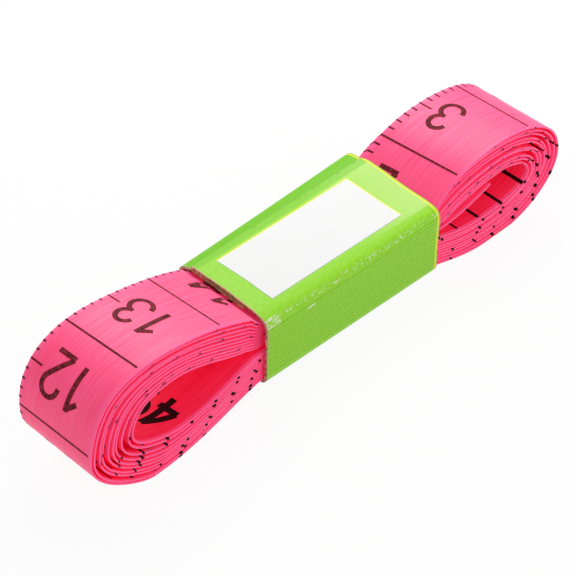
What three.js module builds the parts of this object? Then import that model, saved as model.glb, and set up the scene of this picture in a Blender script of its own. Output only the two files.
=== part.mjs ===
// A cloth tape measure wound flat into a hank and held at its waist by a card band.
// Millimetres. X runs along the hank, Y across the tape, Z up from the table that the hank lies on.
import * as THREE from 'three';

const { clamp, lerp } = THREE.MathUtils;

// The tape, and how it is wound
const tapeWidth = 9.5;
const tapeThickness = 0.25;
const layerGap = 0.42;
const turnCount = 5;

// The hank. Places along it are measured from its left tip.
const hankLength = 63.5;
const leftLoopHeight = 14.4;
const rightLoopHeight = 12.1;
const startPlace = 28;
const tailTipPlace = 53.4;
const tailTipHeight = 6.5;
const footFlatDepth = 0.15;

// The card band, with its tab glued under its flap near the far fold
const bandPlace = 21.7;
const bandLength = 23.5;
const bandLeftHeight = 6.3;
const bandRightHeight = 5.45;
const cardThickness = 0.3;
const bandClearance = 0.3;
const foldRadius = 0.8;
const flapEdgePlace = 1.05;
const tabEndPlace = 7.4;
const lapSlopeLength = 0.9;
const foldSteps = 6;

// On the far side the card isn't drawn tight: its upper fold stands off the tape as a loose nose,
// and the top rises a little towards it
const noseStandOff = 1.9;
const noseDrop = 1.05;
const noseRounding = 1.3;
const crestPlace = 0.4;
const crestRise = 0.2;
const crestRounding = 0.6;

// The hank stays straight this far past each end of the band
const straightPastLeftEnd = 0.3;
const straightPastRightEnd = 0.6;

// The stack of layers inside the band: each turn passes twice, and the inner end once more
const layerPitch = tapeThickness + layerGap;
const middleShare = 0.1;
const topRunHeight = (turnCount + middleShare) * layerPitch;
const bandInnerHeight = 2 * topRunHeight + tapeThickness + 2 * bandClearance;
const bandInnerWidth = tapeWidth + 2 * bandClearance;

// The waist's middle line, which falls a little from the larger loop to the smaller one
const waistAngle = Math.atan2(bandRightHeight - bandLeftHeight, bandLength);
const waistAlong = new THREE.Vector2(Math.cos(waistAngle), Math.sin(waistAngle));
const waistUp = new THREE.Vector2(-waistAlong.y, waistAlong.x);
const waistMiddle = new THREE.Vector2(
  bandPlace + bandLength / 2,
  (bandLeftHeight + bandRightHeight) / 2,
);

function waistPoint(along, up) {
  return waistMiddle.clone().addScaledVector(waistAlong, along).addScaledVector(waistUp, up);
}

// A layer on the waist: turns counts from the tape's outer end, so each turn lies one pitch further in
const upperRun = (along, turns) => waistPoint(along, topRunHeight - turns * layerPitch);
const lowerRun = (along, turns) => waistPoint(along, (turns - 1 / 2) * layerPitch - topRunHeight);

// One turn in steps: along the top to the right, round the right loop, back along the bottom,
// round the left loop, and along the top again to below the place where it began
const arcSteps = 9;
const arcCount = 4;
const loopSteps = arcCount * arcSteps;
const startRunSteps = 3;
const lowerRunSteps = 4;
const endRunSteps = 2;
const rightLoopStart = startRunSteps;
const lowerRunStart = rightLoopStart + loopSteps;
const leftLoopStart = lowerRunStart + lowerRunSteps;
const endRunStart = leftLoopStart + loopSteps;
const turnSteps = endRunStart + endRunSteps;

// Each loop of the hank. crown, foot and tip are its highest, lowest and outermost places. The first
// two lie at a share of the way from the waist to the tip, and the tip at a share of the height: first
// on the outermost layer, then round the eye. looseShare is how widely the layers lie there, against
// the waist, and step is where the place comes in a turn.
const leftLoop = {
  side: -1,
  tipPlace: 0,
  height: leftLoopHeight,
  straightEnd: -bandLength / 2 - straightPastLeftEnd,
  crown: { outerShare: 0.55, eyeShare: 0.52, looseShare: 1.43, step: endRunStart - arcSteps },
  foot: { outerShare: 0.62, eyeShare: 0.5, looseShare: 1.28, step: leftLoopStart + arcSteps },
  tip: { outerShare: 0.49, eyeShare: 0.5, looseShare: 1.9, step: leftLoopStart + 2 * arcSteps },
  shoulderShares: [0.08, 0.72],
  brimShares: [0.78, 0.58],
  heelShares: [0.5, 0.4],
  soleShares: [0.5, 0.24],
};
const rightLoop = {
  side: 1,
  tipPlace: hankLength,
  height: rightLoopHeight,
  straightEnd: bandLength / 2 + straightPastRightEnd,
  crown: { outerShare: 0.5, eyeShare: 0.52, looseShare: 1.3, step: rightLoopStart + arcSteps },
  foot: { outerShare: 0.56, eyeShare: 0.46, looseShare: 1.25, step: lowerRunStart - arcSteps },
  tip: { outerShare: 0.48, eyeShare: 0.46, looseShare: 1.5, step: rightLoopStart + 2 * arcSteps },
  shoulderShares: [0.1, 0.7],
  brimShares: [0.62, 0.55],
  heelShares: [0.55, 0.5],
  soleShares: [0.5, 0.24],
};

// Each layer stays straight a little further than the one outside it, so that they fan out evenly
const fanShare = 0.4;
const waistEnd = (loop, turns) => loop.straightEnd + loop.side * turns * layerPitch * fanShare;

// A layer of a loop is four Bezier arcs: waist to crown, crown to tip, tip to foot, foot to waist
function loopArcs(loop, turns) {
  const layer = (mark) => turns - mark.step / turnSteps;
  const depth = (mark) => tapeThickness / 2 + layer(mark) * layerPitch * mark.looseShare;
  const share = (mark) => lerp(mark.outerShare, mark.eyeShare, layer(mark) / (turnCount - 1));
  const top = upperRun(waistEnd(loop, turns), turns);
  const bottom = lowerRun(waistEnd(loop, turns), turns);
  const reach = Math.abs(loop.tipPlace - waistPoint(loop.straightEnd, 0).x);
  const waistX = loop.tipPlace - loop.side * reach;
  const crown = new THREE.Vector2(
    waistX + loop.side * reach * share(loop.crown),
    loop.height - depth(loop.crown),
  );
  const foot = new THREE.Vector2(
    waistX + loop.side * reach * share(loop.foot),
    depth(loop.foot) - footFlatDepth,
  );
  const tip = new THREE.Vector2(
    loop.tipPlace - loop.side * depth(loop.tip),
    loop.height * share(loop.tip),
  );
  const outward = waistAlong.clone().multiplyScalar(loop.side);
  const level = new THREE.Vector2(loop.side, 0);
  const upright = new THREE.Vector2(0, 1);

  // Handles leave each end along its own direction, as long as a share of the arc's run that way
  function arc(from, fromWay, to, toWay, shares) {
    const run = to.clone().sub(from);
    const fromHandle = Math.abs(run.dot(fromWay)) * shares[0];
    const toHandle = Math.abs(run.dot(toWay)) * shares[1];
    return new THREE.CubicBezierCurve(
      from, from.clone().addScaledVector(fromWay, fromHandle),
      to.clone().addScaledVector(toWay, toHandle), to,
    );
  }
  const down = upright.clone().negate();
  const inward = level.clone().negate();
  return [
    arc(top, outward, crown, inward, loop.shoulderShares),
    arc(crown, level, tip, upright, loop.brimShares),
    arc(tip, down, foot, level, loop.heelShares),
    arc(foot, inward, bottom, outward, loop.soleShares),
  ];
}

function loopPoint(loop, step, turns) {
  const index = Math.min(Math.floor(step / arcSteps), arcCount - 1);
  return loopArcs(loop, turns)[index].getPoint(step / arcSteps - index);
}

const startAlong = (startPlace - waistMiddle.x) / waistAlong.x;

function windingPoint(step) {
  const turns = step / turnSteps;
  const place = step % turnSteps;
  const rightEnd = waistEnd(rightLoop, turns);
  const leftEnd = waistEnd(leftLoop, turns);
  if (place < rightLoopStart) {
    return upperRun(lerp(startAlong, rightEnd, place / startRunSteps), turns);
  }
  if (place < lowerRunStart) {
    return loopPoint(rightLoop, place - rightLoopStart, turns);
  }
  if (place < leftLoopStart) {
    const share = (place - lowerRunStart) / lowerRunSteps;
    return lowerRun(lerp(rightEnd, leftEnd, share), turns);
  }
  if (place < endRunStart) {
    return loopPoint(leftLoop, loopSteps - (place - leftLoopStart), turns);
  }
  return upperRun(lerp(leftEnd, startAlong, (place - endRunStart) / endRunSteps), turns);
}

// The inner end passes through the band once more and sticks out over the right-hand eye
const tailSteps = 4;
const tailHandleShare = 0.5;

function tailPoints() {
  const turns = turnCount + rightLoopStart / turnSteps;
  const leave = upperRun(waistEnd(rightLoop, turns), turns);
  const tipPoint = new THREE.Vector2(tailTipPlace, tailTipHeight);
  const handle = tailHandleShare * leave.distanceTo(tipPoint);
  const bend = leave.clone().addScaledVector(waistAlong, handle);
  return new THREE.QuadraticBezierCurve(leave, bend, tipPoint).getPoints(tailSteps);
}

// Where the outermost layer would dip below the table, it lies flat on it
function restOnTable(points) {
  const level = tapeThickness / 2;
  const rested = [];
  points.forEach((point, index) => {
    const before = points[index - 1];
    if (before && (before.y < level) !== (point.y < level)) {
      rested.push(before.clone().lerp(point, (level - before.y) / (point.y - before.y)));
    }
    if (point.y >= level) rested.push(point);
  });
  return rested;
}

function centreLine() {
  const points = [];
  const woundSteps = turnCount * turnSteps + rightLoopStart;
  for (let step = 0; step < woundSteps; step += 1) points.push(windingPoint(step));
  return restOnTable([...points, ...tailPoints()]);
}

// The strip's edge line at one side of its centre line, mitred at each point
function sideLine(points, offset) {
  return points.map((point, index) => {
    const before = points[Math.max(index - 1, 0)];
    const after = points[Math.min(index + 1, points.length - 1)];
    const arrive = (index > 0 ? point.clone().sub(before) : after.clone().sub(point)).normalize();
    const leave = (index < points.length - 1 ? after.clone().sub(point) : arrive.clone()).normalize();
    const along = arrive.clone().add(leave).normalize();
    const mitre = offset / along.dot(arrive);
    return new THREE.Vector2(point.x - along.y * mitre, point.y + along.x * mitre);
  });
}

// The least gap between two layers: from each point to every piece of the strip that lies
// more than a few pitches further along it
const neighbourPitches = 4;

function leastGap(points) {
  const travelled = [0];
  for (let index = 1; index < points.length; index += 1) {
    travelled.push(travelled[index - 1] + points[index].distanceTo(points[index - 1]));
  }
  const skipped = neighbourPitches * layerPitch;
  let least = Infinity;
  points.forEach((point, index) => {
    for (let other = 0; other < points.length - 1; other += 1) {
      const ahead = travelled[other] - travelled[index];
      const behind = travelled[index] - travelled[other + 1];
      if (ahead < skipped && behind < skipped) continue;
      const piece = points[other + 1].clone().sub(points[other]);
      const share = clamp(point.clone().sub(points[other]).dot(piece) / piece.lengthSq(), 0, 1);
      const nearest = points[other].clone().addScaledVector(piece, share);
      least = Math.min(least, point.distanceTo(nearest) - tapeThickness);
    }
  });
  return least;
}

function makeTape() {
  const points = centreLine();
  console.log(`the tape's least gap to itself is ${leastGap(points).toFixed(3)} mm`);
  const outline = [
    ...sideLine(points, tapeThickness / 2),
    ...sideLine(points, -tapeThickness / 2).reverse(),
  ];
  const settings = { depth: tapeWidth, steps: 1, bevelEnabled: false };
  const geometry = new THREE.ExtrudeGeometry(new THREE.Shape(outline), settings);
  geometry.rotateX(Math.PI / 2);
  geometry.translate(0, tapeWidth / 2, 0);
  const material = new THREE.MeshStandardMaterial({ color: '#ff5c96', roughness: 0.55, metalness: 0 });
  const mesh = new THREE.Mesh(geometry, material);
  mesh.name = 'measuring_tape';
  return mesh;
}

// The corners of the band's section, from the lower near one, and how far each is rounded back
function bandCorners(width, height) {
  const side = width / 2;
  const top = height / 2;
  return [
    { place: new THREE.Vector2(-side, -top), rounding: foldRadius },
    { place: new THREE.Vector2(side, -top), rounding: foldRadius },
    { place: new THREE.Vector2(side + noseStandOff, top - noseDrop), rounding: noseRounding },
    { place: new THREE.Vector2(side - crestPlace, top + crestRise), rounding: crestRounding },
    { place: new THREE.Vector2(-side, top), rounding: foldRadius },
  ];
}

const wayBetween = (from, to) => to.place.clone().sub(from.place).normalize();

// The same corners on the card's inner face
function insetCorners(corners, inset) {
  return corners.map((corner, index) => {
    const arrive = wayBetween(corners.at(index - 1), corner);
    const leave = wayBetween(corner, corners[(index + 1) % corners.length]);
    const inward = new THREE.Vector2(-arrive.y - leave.y, arrive.x + leave.x).normalize();
    const mitre = inset / inward.dot(new THREE.Vector2(-leave.y, leave.x));
    return {
      place: corner.place.clone().addScaledVector(inward, mitre),
      rounding: corner.rounding - inset,
    };
  });
}

// A closed line round the corners. Over the top the flap may stand one card higher than the line
const crestIndex = 3;

function bandOutline(corners, lap) {
  const outline = new THREE.Shape();
  corners.forEach((corner, index) => {
    const arrive = wayBetween(corners.at(index - 1), corner);
    const leave = wayBetween(corner, corners[(index + 1) % corners.length]);
    const bendStart = corner.place.clone().addScaledVector(arrive, -corner.rounding);
    const bendEnd = corner.place.clone().addScaledVector(leave, corner.rounding);
    if (index === 0) outline.moveTo(bendStart.x, bendStart.y);
    else outline.lineTo(bendStart.x, bendStart.y);
    outline.quadraticCurveTo(corner.place.x, corner.place.y, bendEnd.x, bendEnd.y);
    if (lap && index === crestIndex) lapPoints(corner, leave).forEach(({ x, y }) => outline.lineTo(x, y));
  });
  return outline;
}

function lapPoints(crest, alongTop) {
  const outwards = new THREE.Vector2(alongTop.y, -alongTop.x).multiplyScalar(cardThickness);
  const topPoint = (place) => crest.place.clone().addScaledVector(alongTop, place - crestPlace);
  return [
    topPoint(flapEdgePlace),
    topPoint(flapEdgePlace).add(outwards),
    topPoint(tabEndPlace).add(outwards),
    topPoint(tabEndPlace + lapSlopeLength),
  ];
}

function makeBand() {
  const outerWidth = bandInnerWidth + 2 * cardThickness;
  const outerHeight = bandInnerHeight + 2 * cardThickness;
  const corners = bandCorners(outerWidth, outerHeight);
  const section = bandOutline(corners, true);
  section.holes.push(bandOutline(insetCorners(corners, cardThickness), false));
  const settings = { depth: bandLength, steps: 1, bevelEnabled: false, curveSegments: foldSteps };
  const geometry = new THREE.ExtrudeGeometry(section, settings);
  geometry.translate(0, 0, -bandLength / 2);
  const acrossTape = new THREE.Vector3(0, 1, 0);
  const upward = new THREE.Vector3(0, 0, 1);
  const alongHank = new THREE.Vector3(1, 0, 0);
  geometry.applyMatrix4(new THREE.Matrix4().makeBasis(acrossTape, upward, alongHank));
  const material = new THREE.MeshStandardMaterial({ color: '#8ed63a', roughness: 0.5, metalness: 0 });
  const mesh = new THREE.Mesh(geometry, material);
  mesh.name = 'card_band';
  mesh.rotation.y = -waistAngle;
  mesh.position.set(waistMiddle.x, 0, waistMiddle.y);
  return mesh;
}

const tapeMeasure = new THREE.Group();
tapeMeasure.add(makeTape(), makeBand());

// The origin is the middle of the whole part's base. The band's nose makes that lie beyond the tape's middle.
tapeMeasure.updateMatrixWorld(true);
const whole = new THREE.Box3().setFromObject(tapeMeasure, true);
tapeMeasure.position.set(-hankLength / 2, -(whole.min.y + whole.max.y) / 2, 0);
console.log(`the tape's middle lies at Y ${tapeMeasure.position.y.toFixed(4)} mm`);

export default tapeMeasure;
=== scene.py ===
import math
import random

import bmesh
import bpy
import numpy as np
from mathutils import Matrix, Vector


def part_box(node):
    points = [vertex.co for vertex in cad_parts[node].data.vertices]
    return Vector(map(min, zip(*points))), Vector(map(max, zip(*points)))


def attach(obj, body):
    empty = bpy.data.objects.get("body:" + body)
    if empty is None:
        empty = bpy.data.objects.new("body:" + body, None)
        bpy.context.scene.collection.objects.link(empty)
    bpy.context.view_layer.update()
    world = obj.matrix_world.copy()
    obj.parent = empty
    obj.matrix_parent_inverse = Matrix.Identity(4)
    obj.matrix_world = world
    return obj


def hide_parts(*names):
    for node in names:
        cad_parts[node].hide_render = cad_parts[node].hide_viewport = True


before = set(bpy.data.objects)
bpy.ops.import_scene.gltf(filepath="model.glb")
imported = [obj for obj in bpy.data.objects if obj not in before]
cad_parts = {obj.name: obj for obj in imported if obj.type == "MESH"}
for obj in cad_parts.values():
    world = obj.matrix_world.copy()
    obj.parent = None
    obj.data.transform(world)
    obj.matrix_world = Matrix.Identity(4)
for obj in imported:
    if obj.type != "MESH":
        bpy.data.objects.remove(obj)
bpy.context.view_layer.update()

# %% [markdown]
# # A cloth tape measure, wound flat and held by a card band
#
# The real object is a strip of coated cloth, about 1.3 m long and 9.5 mm wide, wound
# into a flat hank of ten turns. A strip of printed card, lapped on top, holds it at the
# waist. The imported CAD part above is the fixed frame: X runs along the hank, Y across
# the tape and Z up, all in metres. The pieces built here take the place of its two
# plain solids. They are worked out in millimetres and scaled down at the end.

MM = 0.001
tape_low, tape_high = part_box("measuring_tape")
TAPE_MIDDLE = (tape_low.y + tape_high.y) / 2 / MM
print("the tape's middle is at Y", round(TAPE_MIDDLE, 3), "mm")

# %% [markdown]
# # The camera
#
# The photograph was taken from above and in front, from the left, with a long lens.
# A long lens keeps the parallel edges of the hank nearly parallel. The camera
# is placed by its distance from a point on the hank and two angles.

# %% Camera
CAMERA_AZIMUTH, CAMERA_ELEVATION = math.radians(-45.762), math.radians(41.864)
CAMERA_DISTANCE = 287.21 * MM
CAMERA_AIM = Vector((-1.291, 0.746 + TAPE_MIDDLE, 5.0)) * MM
LENS_LENGTH, SENSOR_WIDTH = 188.81, 36

camera = bpy.data.objects.new("camera", bpy.data.cameras.new("camera"))
bpy.context.scene.collection.objects.link(camera)
bpy.context.scene.camera = camera
camera.data.lens, camera.data.sensor_width = LENS_LENGTH, SENSOR_WIDTH
camera_back = Vector((math.sin(CAMERA_AZIMUTH) * math.cos(CAMERA_ELEVATION),
                      -math.cos(CAMERA_AZIMUTH) * math.cos(CAMERA_ELEVATION),
                      math.sin(CAMERA_ELEVATION)))
camera.location = CAMERA_AIM + camera_back * CAMERA_DISTANCE
camera.rotation_mode = "QUATERNION"
camera.rotation_quaternion = (-camera_back).to_track_quat("-Z", "Y")
print("camera at, mm:", [round(x / MM, 1) for x in camera.location])

# %% [markdown]
# # The path of the tape
#
# A wound tape could be ten nested rings, but the real one is a single strip, so
# its print runs on from turn to turn. The path is therefore one line, seen from the
# side. It starts under the band, runs right along the top, round the right loop,
# back along the bottom and round the left loop, ten times, each turn inside the
# last. Each leg of a turn is a smooth curve between places that slide inwards a
# little with every turn. Inside the band the layers lie close together on two straight
# runs, and in the loops they spread. The lengths are in millimetres, X from the left
# tip and Z from the table.

# %% Sizes of the hank
TAPE_WIDTH = 9.5
TAPE_THICKNESS = 0.2
TURN_COUNT = 10
HANK_LENGTH = 63.5
START_PLACE = 29.5  # the outer end, under the band
TAIL_TIP = (53.4, 7.35)  # the inner end, bare, past the band
BAND_PLACE = 21.7  # the band's left end
BAND_LENGTH = 23.5
BAND_LEFT_HEIGHT, BAND_RIGHT_HEIGHT = 6.3, 5.45  # of the waist's middle line
TOP_RUN, BOTTOM_RUN = 3.18, 3.447  # from the middle line to the outermost layers
UPPER_PITCH, LOWER_PITCH, LOOSE_PITCH = 0.234, 0.349, 0.328  # from layer to layer
LEFT_LIFTS = 0.9, -1.9  # layers that the first and the last turn sit higher at the left mouth
HALF_TURN = 0.5
FOOT_DIP = 0.05  # what the table presses off the feet
UNEVEN, UNEVEN_TURNS = 0.2, 2.3  # layers that the turns waver by, and how often
PARTING_TURN = 7.7  # the turns after this one stand off from the others
PARTING_FOOT_SHARE = 0.6
FAN = 0.08  # how much further out each turn leaves the straight run

waist_angle = math.atan2(BAND_RIGHT_HEIGHT - BAND_LEFT_HEIGHT, BAND_LENGTH)
waist_way = np.array([math.cos(waist_angle), math.sin(waist_angle)])
waist_up = np.array([-waist_way[1], waist_way[0]])
waist_middle = np.array([BAND_PLACE + BAND_LENGTH / 2, (BAND_LEFT_HEIGHT + BAND_RIGHT_HEIGHT) / 2])


def waist_point(along, up):
    return waist_middle + along * waist_way + up * waist_up


def upper_run(along, turns, lift=0.0):
    return waist_point(along, TOP_RUN - (turns - lift) * UPPER_PITCH)


def lower_run(along, turns):
    return waist_point(along, (turns - HALF_TURN) * LOWER_PITCH - BOTTOM_RUN)


print("waist slopes", round(math.degrees(waist_angle), 2), "degrees")

# %% [markdown]
# Each loop is drawn from three marks: its crown, its tip and its foot. A mark holds a
# share of the loop's reach or height for the first and the last turn, how fast the
# turns close in there, and which place of a turn it stands for. The rows of LEGS say
# how long each leg is beside the others and how many stations it is cut into. The brow
# is the bend where the upper layers of the left loop turn into the band.

# %% Shapes of the two loops
LEGS = (
    ("start", 3, 6), ("right crown", 9, 24), ("right tip", 9, 24), ("right foot", 9, 24),
    ("right sole", 9, 20), ("lower run", 4, 8), ("left sole", 9, 24), ("left foot", 9, 24),
    ("left tip", 9, 24), ("left crown", 7, 24), ("left brow", 2, 16), ("end", 2, 4),
)
TURN_WEIGHT = sum(weight for name, weight, steps in LEGS)
LEG_SHARE = {name: weight / TURN_WEIGHT for name, weight, steps in LEGS}
LEG_START = dict(zip(LEG_SHARE, np.cumsum([0, *LEG_SHARE.values()])))

LEFT = dict(side=-1, tip_place=-0.12, height=14.4, straight=-BAND_LENGTH / 2 + 0.2,
            crown=(0.66, 0.53, 1.33, LEG_START["left crown"]),
            foot=(0.655, 0.52, 1.14, LEG_START["left foot"]),
            tip=(0.49, 0.5, 1.6, LEG_START["left tip"]), parting=0.5,
            shoulder=(0.34, 0.3), brim=(0.72, 0.62), heels=((0.45, 0.3), (0.52, 0.42)),
            sole=(0.46, 0.24))
RIGHT = dict(side=1, tip_place=HANK_LENGTH, height=12.1, straight=BAND_LENGTH / 2 - 1.3,
             crown=(0.5, 0.52, 1.3, LEG_START["right tip"]),
             foot=(0.56, 0.46, 1.25, LEG_START["right sole"]),
             tip=(0.48, 0.46, 1.5, LEG_START["right foot"]), parting=0.0,
             shoulder=(0.16, 0.66), brim=(0.62, 0.55), heels=((0.55, 0.5), (0.55, 0.5)),
             sole=(0.5, 0.24))
BROW = dict(outer=(20.7, 10.5), inner=(19.8, 7.18), sag=0.8, slopes=(-0.5, -0.26), handles=(0.2, 0.35),
            place=-BAND_LENGTH / 2 + 0.1, lead=0.5)


def inwards(turns, first):
    """0 where a place is passed for the first time, 1 where it is passed for the last."""
    return (turns - first) / (TURN_COUNT - 1)


def between(first, last, share):
    return first + (last - first) * share


def ease(t):
    return t * t * (3 - 2 * t)


def marks(loop, turns):
    """The crown, foot and tip of a loop after this many turns."""
    parting = loop["parting"] * min(1, max(0, turns - PARTING_TURN))
    fade = min(1, turns, max(0, TURN_COUNT - 1 - turns))
    uneven = UNEVEN * fade * math.sin(math.tau * turns / UNEVEN_TURNS)

    def depth(mark):
        return TAPE_THICKNESS / 2 + (turns - mark[3] + uneven) * LOOSE_PITCH * mark[2]

    def share(mark):
        return between(mark[0], mark[1], inwards(turns, mark[3]))

    side, tip_place = loop["side"], loop["tip_place"]
    reach = abs(tip_place - waist_point(loop["straight"], 0)[0])
    mouth = tip_place - side * reach
    crown = np.array([mouth + side * reach * share(loop["crown"]),
                      loop["height"] - depth(loop["crown"])])
    foot = np.array([mouth + side * reach * share(loop["foot"]),
                     depth(loop["foot"]) - FOOT_DIP + parting * PARTING_FOOT_SHARE])
    tip = np.array([tip_place - side * (depth(loop["tip"]) + parting),
                    loop["height"] * share(loop["tip"])])
    return crown, foot, tip


print("right crown, foot and tip:", [np.round(mark, 1) for mark in marks(RIGHT, LEG_START["right tip"])])


# %% Legs of a turn
def curve(start, start_way, end, end_way, handles, t):
    """A Bezier curve. Each handle is as long as its share of the run in its own direction."""
    run = end - start
    first = start + abs(run @ start_way) * handles[0] * start_way
    second = end + abs(run @ end_way) * handles[1] * end_way
    s = 1 - t
    return start * s**3 + 3 * first * s * s * t + 3 * second * s * t * t + end * t**3


def waist_end(loop, turns):
    return loop["straight"] + loop["side"] * turns * FAN


def brow_end(turns):
    return BROW["place"] - BROW["lead"] * inwards(turns, LEG_START["end"])


def left_lift(turns):
    return between(*LEFT_LIFTS, inwards(turns, LEG_START["end"]))


def leg_point(name, t, turns):
    """The point at the share t of a leg, after this many turns."""
    start_along = (START_PLACE - waist_middle[0]) / waist_way[0]
    if name == "start":
        return upper_run(between(start_along, waist_end(RIGHT, turns), t), turns)
    if name == "end":
        first = brow_end(turns - t * LEG_SHARE["end"])
        return upper_run(between(first, start_along, t), turns, left_lift(turns) * (1 - ease(t)))
    if name == "lower run":
        return lower_run(between(waist_end(RIGHT, turns), waist_end(LEFT, turns), t), turns)
    loop = RIGHT if name.startswith("right") else LEFT
    crown, foot, tip = marks(loop, turns)
    out = waist_way * loop["side"]
    level, up = np.array([loop["side"], 0.0]), np.array([0.0, 1.0])
    bottom = lower_run(waist_end(loop, turns), turns)
    back = 1 - t if loop is LEFT else t
    if name.endswith("tip"):
        return curve(crown, level, tip, up, loop["brim"], back)
    if name.endswith("foot"):
        heel = between(*np.array(loop["heels"]), inwards(turns, loop["foot"][3]))
        return curve(tip, -up, foot, level, heel, back)
    if name.endswith("sole"):
        return curve(foot, -level, bottom, out, loop["sole"], back)
    if name == "right crown":
        top = upper_run(waist_end(loop, turns), turns)
        return curve(top, out, crown, -level, loop["shoulder"], t)
    deep = inwards(turns, LEG_START["left brow"])
    brow = between(np.array(BROW["outer"]), np.array(BROW["inner"]), deep)
    brow[1] -= BROW["sag"] * deep * (1 - deep)
    slope = between(*BROW["slopes"], deep)
    way = np.array([1, slope]) / math.hypot(1, slope)
    if name == "left crown":
        return curve(crown, -level, brow, -way, loop["shoulder"], t)
    return curve(brow, way, upper_run(brow_end(turns), turns, left_lift(turns)), out, BROW["handles"], t)


print("outer brow at", np.round(leg_point("left brow", 0, LEG_START["left brow"]), 2))


# %% Stations along the path
TAIL_STEPS = 16
TAIL_BEND_SHARE = 0.5


def centre_line():
    """Points of the tape's middle line and how many turns have gone by at each."""
    points, turns = [], []
    for turn in range(TURN_COUNT + 1):
        for name, weight, steps in LEGS:
            if turn == TURN_COUNT and name != "start":
                break
            for step in range(steps):
                t = step / steps
                turns.append(turn + LEG_START[name] + LEG_SHARE[name] * t)
                points.append(leg_point(name, t, turns[-1]))
    last = TURN_COUNT + LEG_START["right crown"]
    leave, tip = upper_run(waist_end(RIGHT, last), last), np.array(TAIL_TIP)
    bend = leave + TAIL_BEND_SHARE * np.linalg.norm(tip - leave) * waist_way
    for t in np.linspace(0, 1, TAIL_STEPS + 1):
        points.append(leave * (1 - t)**2 + 2 * bend * t * (1 - t) + tip * t * t)
        turns.append(last + t * LEG_SHARE["right crown"])
    points = np.array(points)
    points[:, 1] = np.maximum(points[:, 1], TAPE_THICKNESS / 2)
    return points, np.array(turns)


stations, station_turns = centre_line()
travelled = np.concatenate([[0], np.cumsum(np.linalg.norm(np.diff(stations, axis=0), axis=1))])
ways = np.gradient(stations, travelled, axis=0)
ways /= np.linalg.norm(ways, axis=1)[:, None]
outward = np.stack([-ways[:, 1], ways[:, 0]], axis=1)
print(len(stations), "stations on", round(travelled[-1]), "mm of tape")

# %% [markdown]
# # Winding
#
# Everything on the tape is made flat first: u along the strip, v across it and h
# out of its face, in millimetres, as it came off the printing roller. wind() then
# carries each vertex to its place on the path. The turns of a hand-wound hank don't
# lie quite flush, so each turn also sits a little to one side. They aren't quite square
# to the path either. A layer leans where one of its edges stands further out than the
# other, and slants where one edge runs ahead. The tables give these in millimetres at
# some places of a turn, each a share of it, and the tape eases from one to the next.

# %% How the layers sit
SIDE_STEPS = {  # how far the layers sit towards +Y. A row goes from the outer to the inner turns
    0.01: (0.3, 0.4, 0.45, 0.4, 0.3, 0.3, 0.3, 0.3, 0.3),
    0.07: (0.3, 0.72, 1.1, 0.85, 0.5, 0.6, 0.3, 0.3, 0.3),
    0.18: (0.12, 0.2, 0.42, 0.3, 0.12, 0.3, 0.05, 0.2, 0.2),
    0.5: (0.1, 0.14, 0.12, 0.16, 0.12, 0.1, 0.15, 0.1, 0.1),
    0.79: (0.02, -0.1, 0.1, 0.0, -0.14, 0.06, -0.06, 0.1, 0.1),
    0.88: 0.1, 0.96: 0.55, 0.98: 0.6,
}
LEANS = {  # how far the far edge stands out from the path, and the near edge in
    0.01: 0.3, 0.07: 0.6, 0.18: 0.1, 0.29: -0.28, 0.4: -0.2, 0.5: 0.0, 0.56: -0.25,
    0.67: 0.1, 0.73: -0.2, 0.79: 0.14, 0.85: 0.1, 0.9: 0.0, 0.95: 0.1, 0.98: 0.25,
}
SLANTS = {  # how far the near edge runs ahead of the path, and the far edge behind it
    0.01: 0.3, 0.07: 0.42, 0.18: 0.3, 0.29: 0.0, 0.79: -0.2, 0.89: 0.2, 0.98: 0.1,
}


def eased(table, turns):
    """The table's values at these turns. A row of values is spread over the whole winding."""
    rows = []
    for share, value in table.items():
        row = np.atleast_1d(value)
        for turn in range(TURN_COUNT + 1):
            rows.append((turn + share, np.interp(turn / TURN_COUNT, np.linspace(0, 1, len(row)), row)))
    places, values = np.array(sorted(rows)).T
    after = np.clip(np.searchsorted(places, turns), 1, len(places) - 1)
    share = np.clip((turns - places[after - 1]) / (places[after] - places[after - 1]), 0, 1)
    return between(values[after - 1], values[after], ease(share))


station_sides = eased(SIDE_STEPS, station_turns)
station_leans = eased(LEANS, station_turns)
station_slants = eased(SLANTS, station_turns)
print("the layers sit", np.round([station_sides.min(), station_sides.max()], 2), "mm to the side")

# %% Winding and finishing
SHARP_ANGLE = 0.6


def wind(bm):
    """Carries the vertices of a flat mesh to their places round the path, in metres."""
    flat = np.array([v.co for v in bm.verts])
    u, across, height = flat.T
    u = u - np.interp(u, travelled, station_slants) * across / (TAPE_WIDTH / 2)
    x, z, out_x, out_z, side, lean = (np.interp(u, travelled, row) for row in
                                      (*stations.T, *outward.T, station_sides, station_leans))
    out = height + lean * across / (TAPE_WIDTH / 2)
    placed = np.stack([x + out_x * out - HANK_LENGTH / 2, across + side + TAPE_MIDDLE,
                       np.maximum(z + out_z * out, 0)], axis=1)
    for vertex, place in zip(bm.verts, placed * MM):
        vertex.co = place


def finish_piece(name, bm, body, materials):
    """Makes an object of a bmesh, with sharp edges where it bends hard, riding on a body."""
    bmesh.ops.recalc_face_normals(bm, faces=bm.faces[:])
    for face in bm.faces:
        face.smooth = True
    for edge in bm.edges:
        edge.smooth = edge.calc_face_angle(math.pi) < SHARP_ANGLE
    mesh = bpy.data.meshes.new(name)
    bm.to_mesh(mesh)
    bm.free()
    piece = bpy.data.objects.new(name, mesh)
    bpy.context.scene.collection.objects.link(piece)
    for material in materials:
        mesh.materials.append(material)
    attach(piece, body)
    mesh.calc_loop_triangles()
    print(name, "has", len(mesh.loop_triangles), "triangles")
    return piece


print("edges that bend more than", round(math.degrees(SHARP_ANGLE)), "degrees stay sharp")

# %% [markdown]
# # Materials
#
# One function turns a hex colour as seen on a screen into Blender's linear colour,
# and one adds a node with its settings and links.

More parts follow.
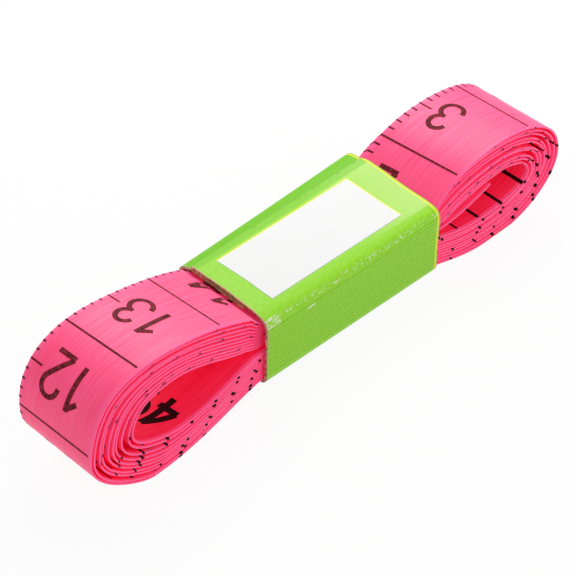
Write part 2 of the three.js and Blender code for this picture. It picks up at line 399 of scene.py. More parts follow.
# %% Colour and node helpers
def hex_colour(text):
    channels = [int(text[i:i + 2], 16) / 255 for i in (1, 3, 5)]
    return (*[c / 12.92 if c <= 0.04045 else ((c + 0.055) / 1.055)**2.4 for c in channels], 1.0)


def add_node(material, kind, settings=None, **links):
    """Adds a node. Each link is a value for the input of that name, or (node, output) to join to it.

    An underscore before a number stands for the input of that number.
    """
    node = material.node_tree.nodes.new(kind)
    for name, value in (settings or {}).items():
        setattr(node, name, value)
    for name, value in links.items():
        key = int(name[1:]) if name[1:].isdigit() else name.replace("_", " ")
        if isinstance(value, tuple) and isinstance(value[0], bpy.types.Node):
            material.node_tree.links.new(value[0].outputs[value[1]], node.inputs[key])
        else:
            node.inputs[key].default_value = value
    return node


def new_material(name):
    material = bpy.data.materials.new(name)
    material.use_nodes = True
    return material, material.node_tree.nodes["Principled BSDF"]


print("pure white is", hex_colour("#FFFFFF"))

# %% [markdown]
# The tape is woven glass-cloth webbing with a coat of soft PVC in a fluorescent pink.
# The threads under the coat, five or six to a millimetre, show as fine streaks along
# the strip, some 8 mm long. They are read from the flat UV map in millimetres, so they
# follow the winding, and a little bump gives them a satin shine. The coat is given a
# faint red glow of its own: painted light that stands in for the light bouncing into the
# hollows between the layers, so that they show red instead of going grey. The coat on the
# reverse is a deeper red, and a band along both long edges is a paler, bluer pink: a
# painted highlight where the edges catch the light.

# %% Coated cloth
THREADS_PER_MM, STREAKS_PER_MM = 5.5, 0.12
# Where the painted highlight along both long edges starts and ends, measured from the tape's edge.
EDGE_HIGHLIGHT_START, EDGE_HIGHLIGHT_END = 0.4, 0.2  # from the tape's edge

tape_coat, shader = new_material("pvc_coated_cloth")
flat_map = add_node(tape_coat, "ShaderNodeUVMap", {"uv_map": "flat"})
streak_map = add_node(tape_coat, "ShaderNodeMapping", Vector=(flat_map, "UV"),
                      Scale=(STREAKS_PER_MM, THREADS_PER_MM, 1.0))
streaks = add_node(tape_coat, "ShaderNodeTexNoise", Vector=(streak_map, "Vector"), Scale=1.0, Detail=4.0,
                   Roughness=0.65)
tint = add_node(tape_coat, "ShaderNodeValToRGB", Fac=(streaks, "Fac"))
tint.color_ramp.elements[0].position, tint.color_ramp.elements[1].position = 0.32, 0.68
tint.color_ramp.elements[0].color = hex_colour("#F93E7C")
tint.color_ramp.elements[1].color = hex_colour("#FF659B")
deep_tint = add_node(tape_coat, "ShaderNodeValToRGB", Fac=(streaks, "Fac"))
deep_tint.color_ramp.elements[0].position, deep_tint.color_ramp.elements[1].position = 0.35, 0.75
deep_tint.color_ramp.elements[0].color = hex_colour("#E01648")
deep_tint.color_ramp.elements[1].color = hex_colour("#FF4478")
coat_side = add_node(tape_coat, "ShaderNodeAttribute", {"attribute_name": "coat_side"})
front_share = add_node(tape_coat, "ShaderNodeMapRange", Value=(coat_side, "Fac"), From_Max=0.6)
coat_colour = add_node(tape_coat, "ShaderNodeMix", {"data_type": "RGBA"}, _0=(front_share, "Result"),
                       _6=(deep_tint, "Color"), _7=(tint, "Color"))
flat_place = add_node(tape_coat, "ShaderNodeSeparateXYZ", Vector=(flat_map, "UV"))
from_middle = add_node(tape_coat, "ShaderNodeMath", {"operation": "ABSOLUTE"}, _0=(flat_place, "Y"))
# Painted highlight: a paler, bluer pink in a band along both long edges, where the edges catch the light.
edge_highlight_share = add_node(tape_coat, "ShaderNodeMapRange", Value=(from_middle, "Value"),
                     From_Min=TAPE_WIDTH / 2 - EDGE_HIGHLIGHT_START, From_Max=TAPE_WIDTH / 2 - EDGE_HIGHLIGHT_END)
edge_highlight_tint = add_node(tape_coat, "ShaderNodeValToRGB", Fac=(streaks, "Fac"))
edge_highlight_tint.color_ramp.elements[0].color = hex_colour("#F54A8E")
edge_highlight_tint.color_ramp.elements[1].color = hex_colour("#FF74AE")
coat_colour = add_node(tape_coat, "ShaderNodeMix", {"data_type": "RGBA"}, _0=(edge_highlight_share, "Result"),
                       _6=(coat_colour, 2), _7=(edge_highlight_tint, "Color"))
bump = add_node(tape_coat, "ShaderNodeBump", Strength=0.2, Distance=0.00006, Height=(streaks, "Fac"))
tape_coat.node_tree.links.new(coat_colour.outputs[2], shader.inputs["Base Color"])
tape_coat.node_tree.links.new(bump.outputs["Normal"], shader.inputs["Normal"])
# The emission is painted light: a faint constant red glow that stands in for the light bouncing into the
# hollows between the layers.
for setting, value in {"Roughness": 0.46, "IOR": 1.5, "Subsurface Weight": 0.2, "Subsurface Scale": 0.0005,
                       "Subsurface Radius": (1.0, 0.15, 0.3), "Emission Color": (1.0, 0.0, 0.03, 1.0),
                       "Emission Strength": 0.165}.items():
    shader.inputs[setting].default_value = value
print("made", tape_coat.name)

# %% [markdown]
# The scale is printed in a thin dark brown ink. It lies thinly at the rims of each
# stroke, which are a dark red over the pink, and its middle is mottled where the weave
# shows through, in specks of about a third of a millimetre. The ink on the reverse is
# black and thicker. Both are matt, with little gloss of their own.

# %% Printing inks
SPECKS_PER_METRE = 3000.0


def printing_ink(name, middle, speck, rim):
    """Ink coloured by how far across the stroke it is (the attribute "across", -1 to 1)."""
    material, shader = new_material(name)
    across = add_node(material, "ShaderNodeAttribute", {"attribute_name": "across"})
    spread = add_node(material, "ShaderNodeMath", {"operation": "ABSOLUTE"}, _0=(across, "Fac"))
    place = add_node(material, "ShaderNodeTexCoord")
    mottle = add_node(material, "ShaderNodeTexNoise", Vector=(place, "Object"), Scale=SPECKS_PER_METRE,
                      Detail=3.0, Roughness=0.6)
    share = add_node(material, "ShaderNodeMapRange", Value=(mottle, "Fac"), From_Min=0.35, From_Max=0.65)
    inside = add_node(material, "ShaderNodeMix", {"data_type": "RGBA"}, _0=(share, "Result"),
                      _6=hex_colour(middle), _7=hex_colour(speck))
    edge = add_node(material, "ShaderNodeMapRange", Value=(spread, "Value"), From_Min=0.5, From_Max=0.8)
    colour = add_node(material, "ShaderNodeMix", {"data_type": "RGBA"}, _0=(edge, "Result"),
                      _6=(inside, 2), _7=hex_colour(rim))
    material.node_tree.links.new(colour.outputs[2], shader.inputs["Base Color"])
    shader.inputs["Roughness"].default_value = 0.6
    shader.inputs["IOR"].default_value = 1.22
    return material


ink = printing_ink("dark_brown_printing_ink", "#360608", "#8A303A", "#900E2C")
black_ink = printing_ink("black_printing_ink", "#120206", "#2C0910", "#330410")
print("made", ink.name, black_ink.name)

# %% [markdown]
# # The tape
#
# A grid of the strip's length and width gets one column for each station, a
# thickness downwards and finely rounded long edges, and is then wound. Its flat
# places are kept as a UV map in millimetres. Cloth could also be simulated, but a tape
# that is wound tight has only one way to lie, and a formula keeps its length. The strip
# is 9.5 mm by 1310 mm flat, narrower than a sheet of cloth that can be declared, so it
# counts as webbing.

# %% Tape
TAPE_ROWS = 4
EDGE_ROUNDING = 0.06

bm = bmesh.new()
bmesh.ops.create_grid(bm, x_segments=len(stations) - 1, y_segments=TAPE_ROWS, size=1)
for vertex in bm.verts:
    column = round((vertex.co.x + 1) / 2 * (len(stations) - 1))
    vertex.co = travelled[column], vertex.co.y * TAPE_WIDTH / 2, TAPE_THICKNESS / 2
bmesh.ops.solidify(bm, geom=bm.faces[:], thickness=TAPE_THICKNESS)
long_edges = []
for edge in bm.edges:
    start, end = (vertex.co for vertex in edge.verts)
    if edge.calc_face_angle(0) > SHARP_ANGLE and abs(start.x - end.x) > abs(start.y - end.y):
        long_edges.append(edge)
bmesh.ops.bevel(bm, geom=long_edges, offset=EDGE_ROUNDING, affect="EDGES", segments=1, profile=0.5,
                material=-1)
flat_layer, side_layer = bm.loops.layers.uv.new("flat"), bm.faces.layers.float.new("coat_side")
bm.normal_update()
for face in bm.faces:
    face[side_layer] = min(1, 1 + face.normal.z)
    for loop in face.loops:
        loop[flat_layer].uv = loop.vert.co.x, loop.vert.co.y + loop.vert.co.z
wind(bm)
coated_tape = finish_piece("coated_tape", bm, "hank", [tape_coat])
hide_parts("measuring_tape")

# %% [markdown]
# # The printed scale
#
# The print could be a picture on the tape, but a picture blurs when the camera comes
# close. Here each mark is a thin film of ink: a ribbon of faces drawn along a path
# on the flat strip, with a little thickness, wound like the tape. The film is a few
# times thicker than real ink, so that it never sinks into the cloth.

# %% Ribbons of ink
INK_RISE = 0.012
INK_DEPTH = 0.02
STROKE_STEP = 0.3
FRONT = TAPE_THICKNESS / 2 + INK_RISE
REVERSE = -FRONT


def ribbon(bm, path, width, side=None):
    """A strip of faces along points (u, v, h). Its width lies level, square to the path or along side."""
    path = np.array(path, float)
    ways = np.gradient(path, axis=0)
    across = np.stack([ways[:, 1], -ways[:, 0], 0 * ways[:, 0]], axis=1)
    if side is not None:
        across = np.tile(np.array(side, float), (len(path), 1))
    across /= np.linalg.norm(across, axis=1)[:, None]
    across_layer = bm.verts.layers.float.get("across") or bm.verts.layers.float.new("across")
    grid = bmesh.ops.create_grid(bm, x_segments=1, y_segments=len(path) - 1, size=1)["verts"]
    for vertex in grid:
        vertex[across_layer] = vertex.co.x
        row = round((vertex.co.y + 1) / 2 * (len(path) - 1))
        vertex.co = path[row] + across[row] * vertex.co.x * width / 2


def bow(middle, radii, first, last):
    """Points of part of an ellipse, from one angle to another in degrees."""
    sweep = math.radians(last - first)
    count = max(4, math.ceil(abs(sweep) * max(radii) / STROKE_STEP))
    angles = math.radians(first) + sweep * np.linspace(0, 1, count + 1)
    return [(middle[0] + radii[0] * math.cos(a), middle[1] + radii[1] * math.sin(a)) for a in angles]


def line(start, end):
    """Points of a straight stroke."""
    count = max(1, math.ceil(math.dist(start, end) / STROKE_STEP))
    return [tuple(between(np.array(start), np.array(end), i / count)) for i in range(count + 1)]


def wind_print(name, bm, film, facing=None):
    """Gives flat print its depth and winds it. facing first turns every face up, 1, or down, -1."""
    if facing:
        bmesh.ops.recalc_face_normals(bm, faces=bm.faces[:])
        for face in bm.faces:
            if face.normal.z * facing < 0:
                face.normal_flip()
    bmesh.ops.solidify(bm, geom=bm.faces[:], thickness=INK_DEPTH)
    wind(bm)
    finish_piece(name, bm, "hank", [film])


print("the ink's film is", INK_DEPTH, "mm thick")

# %% Shapes of the numerals
FIGURE_HEIGHT, FIGURE_PITCH = 4.25, 2.6
STROKES = {
    "0": [bow((1.02, 2.12), (1.0, 2.12), 0, 360)],
    "1": [line((1.15, 0.0), (1.15, 4.4)), line((1.2, 4.25), (0.15, 3.2)), line((1.0, 4.0), (0.75, 3.5))],
    "2": [bow((0.98, 3.15), (0.98, 1.1), 185, -20) + line((1.8, 2.55), (0.08, 0.1)),
          line((0.0, 0.0), (2.1, 0.0))],
    "3": [bow((0.9, 3.25), (0.88, 1.0), 170, -85), bow((0.98, 1.15), (1.04, 1.15), 92, -172)],
    "4": [line((1.45, 4.4), (0.0, 1.25)), line((-0.1, 1.2), (2.15, 1.2)), line((1.5, 4.4), (1.5, -0.1)),
          line((1.35, 4.2), (1.15, 3.2))],
    "5": [line((1.95, 4.25), (0.3, 4.25)), line((0.4, 4.25), (0.2, 2.2)),
          bow((0.98, 1.35), (1.04, 1.35), 140, -165)],
    "6": [bow((1.02, 1.3), (1.0, 1.3), 0, 360), bow((1.9, 1.3), (1.88, 3.0), 180, 105)],
    "7": [line((0.0, 4.25), (2.1, 4.25)), line((2.0, 4.25), (0.75, 0.0))],
    "8": [bow((1.02, 1.15), (1.02, 1.15), 0, 360), bow((1.02, 3.25), (0.86, 1.0), 0, 360)],
    "9": [bow((1.02, 2.95), (1.0, 1.3), 0, 360), bow((0.14, 2.95), (1.88, 3.0), 0, -75)],
}


def write_number(bm, number, foot, first_left, stroke, height, up=-1):
    """Writes a number whose feet are at u = foot. Its right is +v, and its up is -u on the front."""
    for place, figure in enumerate(str(number)):
        left = first_left + place * FIGURE_PITCH
        for path in STROKES[figure]:
            ribbon(bm, [(foot + up * y, left + x, height) for x, y in path], stroke)


print("strokes of each figure:", {k: len(v) for k, v in STROKES.items()})

# %% [markdown]
# The front scale is in centimetres: a line across the tape at each, a longer tick at
# each half, a short tick at each millimetre on the far edge, and a numeral just before
# each line. The roller that printed it ran unevenly, so its marks fall early or late in
# the same way every ten centimetres. The cloth was slit a little off the print, which
# makes the short ticks longer in places.

# %% Front scale
SCALE_LENGTH = 1300
CENTIMETRE = 9.88
ROLLER_SLIPS = (0.0, -0.22, -0.36, 0.32, 0.7, 0.3, 0.1, 0.0, 0.0, 0.0, 0.0)
TICK_LENGTH, TICK_WIDTH, HALF_LENGTH = 0.52, 0.2, 1.5
SLIT_WANDER, SLIT_PERIOD, SLIT_WIDEST = 0.2, 180, 40  # the last two in millimetres of the scale
LINE_WIDTH, LINE_STOP = 0.23, 0.4
FRONT_STROKE = 0.52
LAST_FIGURE_LEFT, FOOT_BEFORE_LINE = 0.6, 2.75
FIGURE_SHARE = 0.4  # of a centimetre, from a numeral's middle to its line
FAR, NEAR = TAPE_WIDTH / 2 - 0.03, -TAPE_WIDTH / 2


def printed(centimetres):
    """Where the roller put a mark of the scale."""
    return centimetres * CENTIMETRE + np.interp(centimetres % 10, range(11), ROLLER_SLIPS)


bm = bmesh.new()
for millimetre in range(1, SCALE_LENGTH):
    if millimetre % 10 == 0:
        continue
    wander = SLIT_WANDER * math.cos(math.tau * (millimetre - SLIT_WIDEST) / SLIT_PERIOD)
    length = HALF_LENGTH if millimetre % 5 == 0 else TICK_LENGTH + wander
    u = printed(millimetre / 10)
    ribbon(bm, [(u, FAR, FRONT), (u, FAR - length, FRONT)], TICK_WIDTH)
wind_print("scale_ticks", bm, ink)

bm = bmesh.new()
for centimetre in range(1, SCALE_LENGTH // 10 + 1):
    u = printed(centimetre)
    ribbon(bm, [(u, FAR, FRONT), (u, NEAR + LINE_STOP, FRONT)], LINE_WIDTH)
wind_print("scale_lines", bm, ink)

bm = bmesh.new()
for centimetre in range(1, SCALE_LENGTH // 10 + 1):
    left = LAST_FIGURE_LEFT - FIGURE_PITCH * (len(str(centimetre)) - 1)
    foot = printed(centimetre - FIGURE_SHARE) + FIGURE_SHARE * CENTIMETRE - FOOT_BEFORE_LINE
    write_number(bm, centimetre, foot, left, FRONT_STROKE, FRONT)
wind_print("scale_numerals", bm, ink, facing=1)

# %% [markdown]
# The reverse carries a scale in inches, in black, with a tick at each eighth. The ticks
# were printed as far as the near edge of the tape, and some ink ran over it. It shows
# as dots on the edges of the layers, no two alike, and some are missing. The scale
# stops at 49 inches, and that number stands once more after it.

# %% Reverse scale
EIGHTH = 25.4 / 8 * CENTIMETRE / 10
LAST_INCH = 49
REVERSE_START = -0.55
REVERSE_TICK, REVERSE_STROKE, REVERSE_MARGIN = 2.6, 0.7, 0.4
TICK_WIDTHS = 0.26, 0.4
TICK_STOP = 0.3  # from the near edge, where a tick's ink hasn't run over it
RUN_CHANCE, SPARSE_RUN_CHANCE = 0.65, 0.3
RUN_BEND, RUN_TURN = 0.04, 0.05
RUN_ENDS = -0.02, TAPE_THICKNESS / 2 - 0.03
INCH_LEFT = -0.6
REPEAT_LEFT, REPEAT_PLACE = -3.3, 1249.9  # of the number after the scale's end
chance = random.Random(5)


def few_runs(turns):
    """Whether the ink seldom ran there: on the outer turn and over the top of the left loop."""
    place = turns % 1
    return turns < 1 or place > LEG_START["left tip"] or place < LEG_START["right tip"]


bm = bmesh.new()
for count in range(1, LAST_INCH * 8 + 1):
    u = REVERSE_START + count * EIGHTH
    length = TAPE_WIDTH - REVERSE_MARGIN if count % 8 == 0 else REVERSE_TICK
    path = [(u, NEAR + length, REVERSE), (u, NEAR + TICK_STOP, REVERSE)]
    run_chance = SPARSE_RUN_CHANCE if few_runs(np.interp(u, travelled, station_turns)) else RUN_CHANCE
    if chance.random() < run_chance:
        path += [(u, NEAR + RUN_BEND, REVERSE), (u, NEAR - INK_RISE, REVERSE + RUN_TURN),
                 (u, NEAR - INK_RISE, chance.uniform(*RUN_ENDS))]
    ribbon(bm, path, chance.uniform(*TICK_WIDTHS), side=(1, 0, 0))
wind_print("reverse_ticks", bm, black_ink)

bm = bmesh.new()
for inch in range(1, LAST_INCH + 1):
    foot = REVERSE_START + inch * 8 * EIGHTH - FOOT_BEFORE_LINE - FIGURE_HEIGHT
    write_number(bm, inch, foot, INCH_LEFT, REVERSE_STROKE, REVERSE, up=1)
write_number(bm, LAST_INCH, REPEAT_PLACE, REPEAT_LEFT, REVERSE_STROKE, REVERSE, up=1)
wind_print("reverse_numerals", bm, black_ink, facing=-1)

# %% [markdown]
# # The card band
#
# The band is a strip of thin printed card, folded round the waist and lapped on top:
# the outer end lies over the inner one. It is made as it was cut, flat, with a column
# for each place across and a row for each place along the strip, then bent to the
# section of the waist. The section is drawn as a few points in millimetres, Y across
# and the height above the waist's middle line, from the inner end under the flap round
# to the flap's cut edge. The far fold stands off the tape, more so at the right.

# %% Section of the band
CARD_THICKNESS = 0.28
SECTION = [  # (Y, height) at the left end, then at the right end
    ((-1.9, 3.35), (-1.9, 3.35)), ((-0.8, 3.46), (-0.8, 3.46)), ((0.2, 3.56), (0.2, 3.6)),
    ((2.5, 3.74), (2.6, 3.92)), ((4.5, 3.84), (4.4, 4.04)), ((5.4, 3.76), (5.6, 4.02)),
    ((6.2, 3.38), (6.6, 3.87)), ((6.45, 2.7), (7.17, 3.35)), ((6.3, 1.6), (7.0, 2.15)),
    ((5.7, -0.8), (6.1, -0.4)),
    ((5.25, -2.9), (5.4, -2.8)), ((5.05, -3.7), (5.05, -3.7)), ((4.4, -3.99), (4.4, -3.99)),
    ((2.0, -3.99), (2.0, -3.99)), ((-2.0, -3.99), (-2.0, -3.99)), ((-4.2, -3.99), (-4.2, -3.99)),
    ((-4.8, -3.75), (-4.8, -3.75)), ((-4.98, -3.1), (-5.02, -3.1)), ((-4.98, -1.0), (-5.02, -1.0)),
    ((-4.98, 1.2), (-5.02, 1.3)), ((-4.95, 2.35), (-5.06, 2.7)), ((-4.6, 3.22), (-4.75, 3.45)),
    ((-3.7, 3.58), (-3.8, 3.72)), ((-2.9, 3.72), (-2.9, 3.79)), ((-1.9, 3.82), (-1.9, 3.83)),
    ((-0.8, 3.94), (-0.8, 3.88)), ((0.2, 4.05), (0.2, 3.98)), ((2.5, 4.12), (2.6, 4.24)),
    ((4.3, 4.15), (4.25, 4.34)), ((4.95, 4.13), (5.1, 4.32)),
]
BEND_STEPS = 6


def smooth_line(points, steps):
    """A line through the points, rounded between them, cut into steps."""
    points = np.array(points, float)
    padded = np.vstack([2 * points[0] - points[1], points, 2 * points[-1] - points[-2]])
    made = []
    for a, b, c, d in zip(padded, padded[1:], padded[2:], padded[3:]):
        for t in np.arange(steps) / steps:
            made.append(0.5 * (2 * b + (c - a) * t + (2 * a - 5 * b + 4 * c - d) * t * t
                               + (3 * b - a - 3 * c + d) * t**3))
    return np.array(made + [points[-1]])


left_line = smooth_line([ends[0] for ends in SECTION], BEND_STEPS)
right_line = smooth_line([ends[1] for ends in SECTION], BEND_STEPS)
mean_line = (left_line + right_line) / 2
card_travelled = np.concatenate([[0], np.cumsum(np.linalg.norm(np.diff(mean_line, axis=0), axis=1))])
CARD_LENGTH = card_travelled[-1]
print("the card strip is", round(CARD_LENGTH, 1), "mm long before it is folded")

# %% [markdown]
# The outer face is printed green and varnished, with a plain white panel on top, a
# yellow line round two sides of the panel and along the right end, and fine ribs on
# the near side. The inner end, the far side and the flap's margin are a deeper green,
# painted shade for the sheen that the top catches and they don't, and the top is
# painted paler towards the right end, a painted sheen of the light from the right.
# Handling has broken the print along the near fold, at the left end and at the cut
# edge of the flap, where dark specks are partly chips and partly painted shadow of the
# flap's step. Each of these is laid over the green in turn, on the flat strip, in
# millimetres along the band and up the strip, so the print bends with the card. Flecks
# and scuffs come from noises with a few specks to the millimetre, and a fine grain in
# the bump gives the varnish its slight unevenness.

# %% Places on the card
card_print, shader = new_material("gloss_printed_card")
card_map = add_node(card_print, "ShaderNodeUVMap", {"uv_map": "flat"})
card_place = add_node(card_print, "ShaderNodeSeparateXYZ", Vector=(card_map, "UV"))
ALONG, UP_STRIP = (card_place, "X"), (card_place, "Y")


def strip_place(across, height):
    """How far up the flat strip a point of the left section is, on the outermost layer there."""
    away = np.linalg.norm(left_line - (across, height), axis=1)
    return float(card_travelled[int(np.argmin(away))])


FLAP_END = CARD_LENGTH
FAR_FOLD = strip_place(4.75, -3.9)
NEAR_FOOT = strip_place(-4.98, -3.1)
NEAR_FOLD = strip_place(-4.6, 2.95)
print("folds of the card, mm:", [round(place, 1) for place in (FAR_FOLD, NEAR_FOOT, NEAR_FOLD)])


# %% Laying print on the card
def inside(place, low, high):
    """1 where a place on the card is from low to high, and 0 elsewhere."""
    mask = add_node(card_print, "ShaderNodeMath", {"operation": "COMPARE"}, _0=place,
                    _1=(low + high) / 2, _2=(high - low) / 2)
    return mask, "Value"


def specks(per_mm, low, high, stretch=1.0):
    """Uneven patches, longer along the band by stretch: 0 to 1 as a noise passes from low to high."""
    spread = add_node(card_print, "ShaderNodeMapping", Vector=(card_map, "UV"),
                      Scale=(per_mm / stretch, per_mm, 1.0))
    noise = add_node(card_print, "ShaderNodeTexNoise", Vector=(spread, "Vector"), Scale=1.0, Detail=3.0,
                     Roughness=0.7)
    mask = add_node(card_print, "ShaderNodeMapRange", Value=(noise, "Fac"), From_Min=low, From_Max=high)
    return mask, "Result"


def all_of(first, *others):
    """The product of some masks."""
    for other in others:
        product = add_node(card_print, "ShaderNodeMath", {"operation": "MULTIPLY"}, _0=first, _1=other)
        first = product, "Value"
    return first


def lay_over(colour, mask, paint):
    """The colour with a paint over it where the mask is 1."""
    node = add_node(card_print, "ShaderNodeMix", {"data_type": "RGBA"}, _0=mask, _6=colour,
                    _7=hex_colour(paint))
    return node, 2


colour = hex_colour("#90DA12")
print("the green under all the print is", [round(channel, 3) for channel in colour[:3]])

# %% Printed greens, ribs and panel, with painted sheen and painted shade
FLECKS = dict(per_mm=2.2, low=0.35, high=0.7)
FLECK_STRENGTH, SHEEN_STRENGTH, FAR_SHADE_STRENGTH, MARGIN_SHADE_STRENGTH = 0.4, 0.6, 0.9, 0.6
SHEEN_START, SHEEN_MARGIN, FLAP_SHADE_WIDTH = 14.0, 1.2, 0.8
RIB_PITCH, RIB_SLANT, RIB_STRENGTH, RIB_STOP = 0.45, 0.012, 0.16, 0.35
END_MARGIN, END_LINE = 0.14, 0.34
PANEL = dict(left=2.3, right=19.8, near=FLAP_END - 8.2, far=FLAP_END - 1.2, skew=0.035)
PANEL_LINE, PANEL_SHADE = 0.14, 0.07

colour = lay_over(colour, all_of(specks(**FLECKS), FLECK_STRENGTH), "#B9EC5C")
# Painted sheen: the top is laid over with a paler green towards the right end, where the light from the
# right gives it a shine.
sheen_towards_right = add_node(card_print, "ShaderNodeMapRange", Value=ALONG, From_Min=SHEEN_START,
                         From_Max=BAND_LENGTH)
sheen_on_top = inside(UP_STRIP, NEAR_FOLD + SHEEN_MARGIN, CARD_LENGTH)
colour = lay_over(colour, all_of((sheen_towards_right, "Result"), sheen_on_top, SHEEN_STRENGTH), "#CDEF90")
# Painted shade: the far side, the far strip and the flap's margin are laid over with a deeper green, for
# the sheen that they don't catch.
colour = lay_over(colour, all_of(inside(UP_STRIP, 0.0, FAR_FOLD), FAR_SHADE_STRENGTH), "#74C800")
flap_margin_shade = inside(UP_STRIP, FLAP_END - FLAP_SHADE_WIDTH, FLAP_END)
colour = lay_over(colour, all_of(flap_margin_shade, MARGIN_SHADE_STRENGTH), "#74C800")

rib_place = add_node(card_print, "ShaderNodeMath", {"operation": "MULTIPLY_ADD"}, _0=ALONG, _1=RIB_SLANT,
                     _2=UP_STRIP)
rib_angle = add_node(card_print, "ShaderNodeMath", {"operation": "MULTIPLY"}, _0=(rib_place, "Value"),
                     _1=math.tau / RIB_PITCH)
rib_wave = add_node(card_print, "ShaderNodeMath", {"operation": "SINE"}, _0=(rib_angle, "Value"))
ribs = add_node(card_print, "ShaderNodeMath", {"operation": "MULTIPLY_ADD"}, _0=(rib_wave, "Value"),
                _1=RIB_STRENGTH, _2=RIB_STRENGTH)
near_side = inside(UP_STRIP, NEAR_FOOT, NEAR_FOLD - RIB_STOP)
colour = lay_over(colour, all_of((ribs, "Value"), near_side), "#5E9A10")
colour = lay_over(colour, inside(ALONG, BAND_LENGTH - END_MARGIN, BAND_LENGTH), "#8FCB3A")
colour = lay_over(colour, inside(ALONG, BAND_LENGTH - END_LINE, BAND_LENGTH - END_MARGIN), "#F4F03C")

skewed_place = add_node(card_print, "ShaderNodeMath", {"operation": "MULTIPLY_ADD"}, _0=UP_STRIP,
                        _1=PANEL["skew"], _2=ALONG)
skewed = skewed_place, "Value"
panel_left, panel_right = (PANEL[side] + PANEL["far"] * PANEL["skew"] for side in ("left", "right"))
for before, after, paint in ((0.0, PANEL_LINE, "#EDF04A"), (PANEL_SHADE, -PANEL_SHADE, "#8FA68A"),
                             (0.0, 0.0, "#ECEDEC")):
    panel = all_of(inside(skewed, panel_left - before, panel_right + after),
                   inside(UP_STRIP, PANEL["near"] - before, PANEL["far"] + after))
    colour = lay_over(colour, panel, paint)
print("the panel is", PANEL["right"] - PANEL["left"], "by", round(PANEL["far"] - PANEL["near"], 1), "mm")

# %% Wear on the print, and painted shade at the flap's edge
SCUFFS = dict(per_mm=4.5, low=0.56, high=0.62, stretch=1.5)
SCUFF_BELOW, SCUFF_ABOVE = 0.25, 0.3
CORNER_SCUFFS = dict(per_mm=3.4, low=0.5, high=0.56)
CORNER_LENGTH, CORNER_BELOW, CORNER_ABOVE = 1.8, 0.5, 0.4
SCRATCH = dict(left=5.3, right=6.3, top=0.78, bottom=0.95)
CUT_WEAR = dict(per_mm=4.0, low=0.42, high=0.5)
CUT_WEAR_WIDTH = 0.16
CHIP_AND_SHADE_SPECKS = dict(per_mm=2.6, low=0.56, high=0.62, stretch=1.5)
GRAIN = dict(per_mm=5.0, low=0.3, high=0.7)

scuffed = all_of(inside(UP_STRIP, NEAR_FOLD - SCUFF_BELOW, NEAR_FOLD + SCUFF_ABOVE), specks(**SCUFFS))
worn_corner = all_of(inside(UP_STRIP, NEAR_FOLD - CORNER_BELOW, NEAR_FOLD + CORNER_ABOVE),
                     inside(ALONG, 0.0, CORNER_LENGTH), specks(**CORNER_SCUFFS))
scratch = all_of(inside(UP_STRIP, NEAR_FOLD - SCRATCH["bottom"], NEAR_FOLD - SCRATCH["top"]),
                 inside(ALONG, SCRATCH["left"], SCRATCH["right"]))
for bare in (scuffed, worn_corner, scratch):
    colour = lay_over(colour, bare, "#E6EFC8")
colour = lay_over(colour, all_of(inside(ALONG, 0.0, CUT_WEAR_WIDTH), specks(**CUT_WEAR)), "#C9A77C")
# Dark specks along the flap's cut edge: partly chips in the print, partly painted shadow of the flap's
# step.
chipped_and_shaded = all_of(inside(UP_STRIP, FLAP_END - CUT_WEAR_WIDTH, FLAP_END), specks(**CHIP_AND_SHADE_SPECKS))
colour = lay_over(colour, chipped_and_shaded, "#71882A")
card_print.node_tree.links.new(colour[0].outputs[colour[1]], shader.inputs["Base Color"])
grain = add_node(card_print, "ShaderNodeBump", Strength=0.15, Distance=0.00004, Height=specks(**GRAIN))
card_print.node_tree.links.new(grain.outputs["Normal"], shader.inputs["Normal"])
shader.inputs["Roughness"].default_value = 0.42
shader.inputs["IOR"].default_value = 1.32
print(card_print.name, "has", len(card_print.node_tree.nodes), "nodes")

# %% [markdown]
# The card was cut, not varnished, at its edges, so its core shows there: matt brown
# and cream fibres, less than half a millimetre long. The back is plain grey-brown
# board that hardly shows, but it is seen where the far fold stands off the tape.

# %% Bare card
FIBRES_PER_METRE = 2500.0

card_core, shader = new_material("uncoated_card_edge")
place = add_node(card_core, "ShaderNodeTexCoord")
fibres = add_node(card_core, "ShaderNodeTexNoise", Vector=(place, "Object"), Scale=FIBRES_PER_METRE,
                  Detail=3.0, Roughness=0.7)
core_tint = add_node(card_core, "ShaderNodeValToRGB", Fac=(fibres, "Fac"))
core_tint.color_ramp.elements[0].position, core_tint.color_ramp.elements[1].position = 0.38, 0.66
core_tint.color_ramp.elements[0].color = hex_colour("#8A6242")
core_tint.color_ramp.elements[1].color = hex_colour("#E0C8A0")
card_core.node_tree.links.new(core_tint.outputs["Color"], shader.inputs["Base Color"])
shader.inputs["Roughness"].default_value = 0.85
card_back, shader = new_material("uncoated_card_back")
shader.inputs["Base Color"].default_value = hex_colour("#A39A80")
shader.inputs["Roughness"].default_value = 0.85
print("made", card_core.name, card_back.name)

# %% [markdown]
# The flat card is a grid with a thickness. Its faces are given the print, the bare edge
# or the bare back by the way that they face, and only then is it bent. Each vertex goes
# to the section's place between its left and its right end.

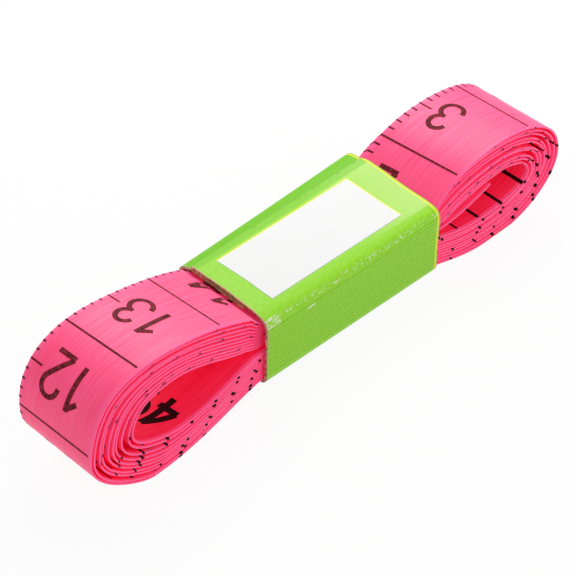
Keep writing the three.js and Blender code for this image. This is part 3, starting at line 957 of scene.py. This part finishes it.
# %% Card band
CARD_COLUMNS = 24
bm = bmesh.new()
bmesh.ops.create_grid(bm, x_segments=CARD_COLUMNS, y_segments=len(mean_line) - 1, size=1)
for vertex in bm.verts:
    row = round((vertex.co.y + 1) / 2 * (len(mean_line) - 1))
    vertex.co = (vertex.co.x + 1) / 2 * BAND_LENGTH, card_travelled[row], 0
bmesh.ops.solidify(bm, geom=bm.faces[:], thickness=CARD_THICKNESS)
bm.normal_update()
flat_layer = bm.loops.layers.uv.new("flat")
PRINTED, BARE_EDGE, BACK = range(3)
for face in bm.faces:
    steep = round(face.normal.z)
    face.material_index = PRINTED if steep > 0 else BACK if steep < 0 else BARE_EDGE
    for loop in face.loops:
        loop[flat_layer].uv = loop.vert.co.x, loop.vert.co.y
mean_ways = np.gradient(mean_line, axis=0)
mean_ways /= np.linalg.norm(mean_ways, axis=1)[:, None]
mean_out = np.stack([mean_ways[:, 1], -mean_ways[:, 0]], axis=1)
for vertex in bm.verts:
    x, y, z = vertex.co
    row = int(np.argmin(abs(card_travelled - y)))
    across, height = (between(left_line[row], right_line[row], x / BAND_LENGTH)
                      - mean_out[row] * (z + CARD_THICKNESS / 2))
    place = waist_point(x - BAND_LENGTH / 2, height)
    vertex.co = (place[0] - HANK_LENGTH / 2) * MM, (across + TAPE_MIDDLE) * MM, place[1] * MM
card_band = finish_piece("card_band_lapped", bm, "band", [card_print, card_core, card_back])
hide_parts("card_band")

# %% [markdown]
# # Floor and light
#
# The photograph's ground is pure white. The floor shows as white to the camera, and
# partly as a real white surface, so that it keeps the object's shadow. The light is
# plain: an even world, a small soft lamp close above the right end, and a wide faint
# one in front. The first is close enough to leave the left end a little darker.

# %% Floor
FLOOR_REACH = 3.0
GLOW_SHARE = 0.93

white_floor = bpy.data.materials.new("white_paper_floor")
white_floor.use_nodes = True
white_floor.node_tree.nodes.clear()
paper = add_node(white_floor, "ShaderNodeBsdfDiffuse", Color=hex_colour("#F4F4F4"))
glow = add_node(white_floor, "ShaderNodeEmission", Color=(1, 1, 1, 1), Strength=1.0)
rays = add_node(white_floor, "ShaderNodeLightPath")
seen = add_node(white_floor, "ShaderNodeMath", {"operation": "MAXIMUM"}, _0=(rays, "Is Camera Ray"),
                _1=(rays, "Is Glossy Ray"))
seen = add_node(white_floor, "ShaderNodeMath", {"operation": "MAXIMUM"}, _0=(seen, "Value"),
                _1=(rays, "Is Transmission Ray"))
seen = add_node(white_floor, "ShaderNodeMath", {"operation": "MULTIPLY"}, _0=(seen, "Value"), _1=GLOW_SHARE)
mixed = add_node(white_floor, "ShaderNodeMixShader", _0=(seen, "Value"), _1=(paper, "BSDF"),
                 _2=(glow, "Emission"))
add_node(white_floor, "ShaderNodeOutputMaterial", Surface=(mixed, "Shader"))

bm = bmesh.new()
bmesh.ops.create_grid(bm, x_segments=1, y_segments=1, size=FLOOR_REACH)
floor_mesh = bpy.data.meshes.new("floor")
bm.to_mesh(floor_mesh)
bm.free()
floor = bpy.data.objects.new("floor", floor_mesh)
bpy.context.scene.collection.objects.link(floor)
floor_mesh.materials.append(white_floor)
print("the floor is", 2 * FLOOR_REACH, "m wide")

# %% World and lamps
WORLD_STRENGTH = 0.62
LAMPS = (  # name, watts, width and place in metres
    ("window", 0.137, 0.1, Vector((0.085, 0.07, 0.125))),
    ("reflector", 1.8, 1.1, Vector((0.35, -0.8, 0.5))),
)

world = bpy.data.worlds.new("even_light")
bpy.context.scene.world = world
world.use_nodes = True
world.node_tree.nodes["Background"].inputs["Color"].default_value = (1, 1, 1, 1)
world.node_tree.nodes["Background"].inputs["Strength"].default_value = WORLD_STRENGTH
for name, watts, width, place in LAMPS:
    lamp_data = bpy.data.lights.new(name, "AREA")
    lamp_data.energy, lamp_data.size = watts, width
    lamp = bpy.data.objects.new(name, lamp_data)
    bpy.context.scene.collection.objects.link(lamp)
    lamp.location = place
    lamp.rotation_mode = "QUATERNION"
    lamp.rotation_quaternion = (-place).to_track_quat("-Z", "Y")
bpy.context.scene.view_settings.view_transform = "Standard"
print("the lamps and the world are set")
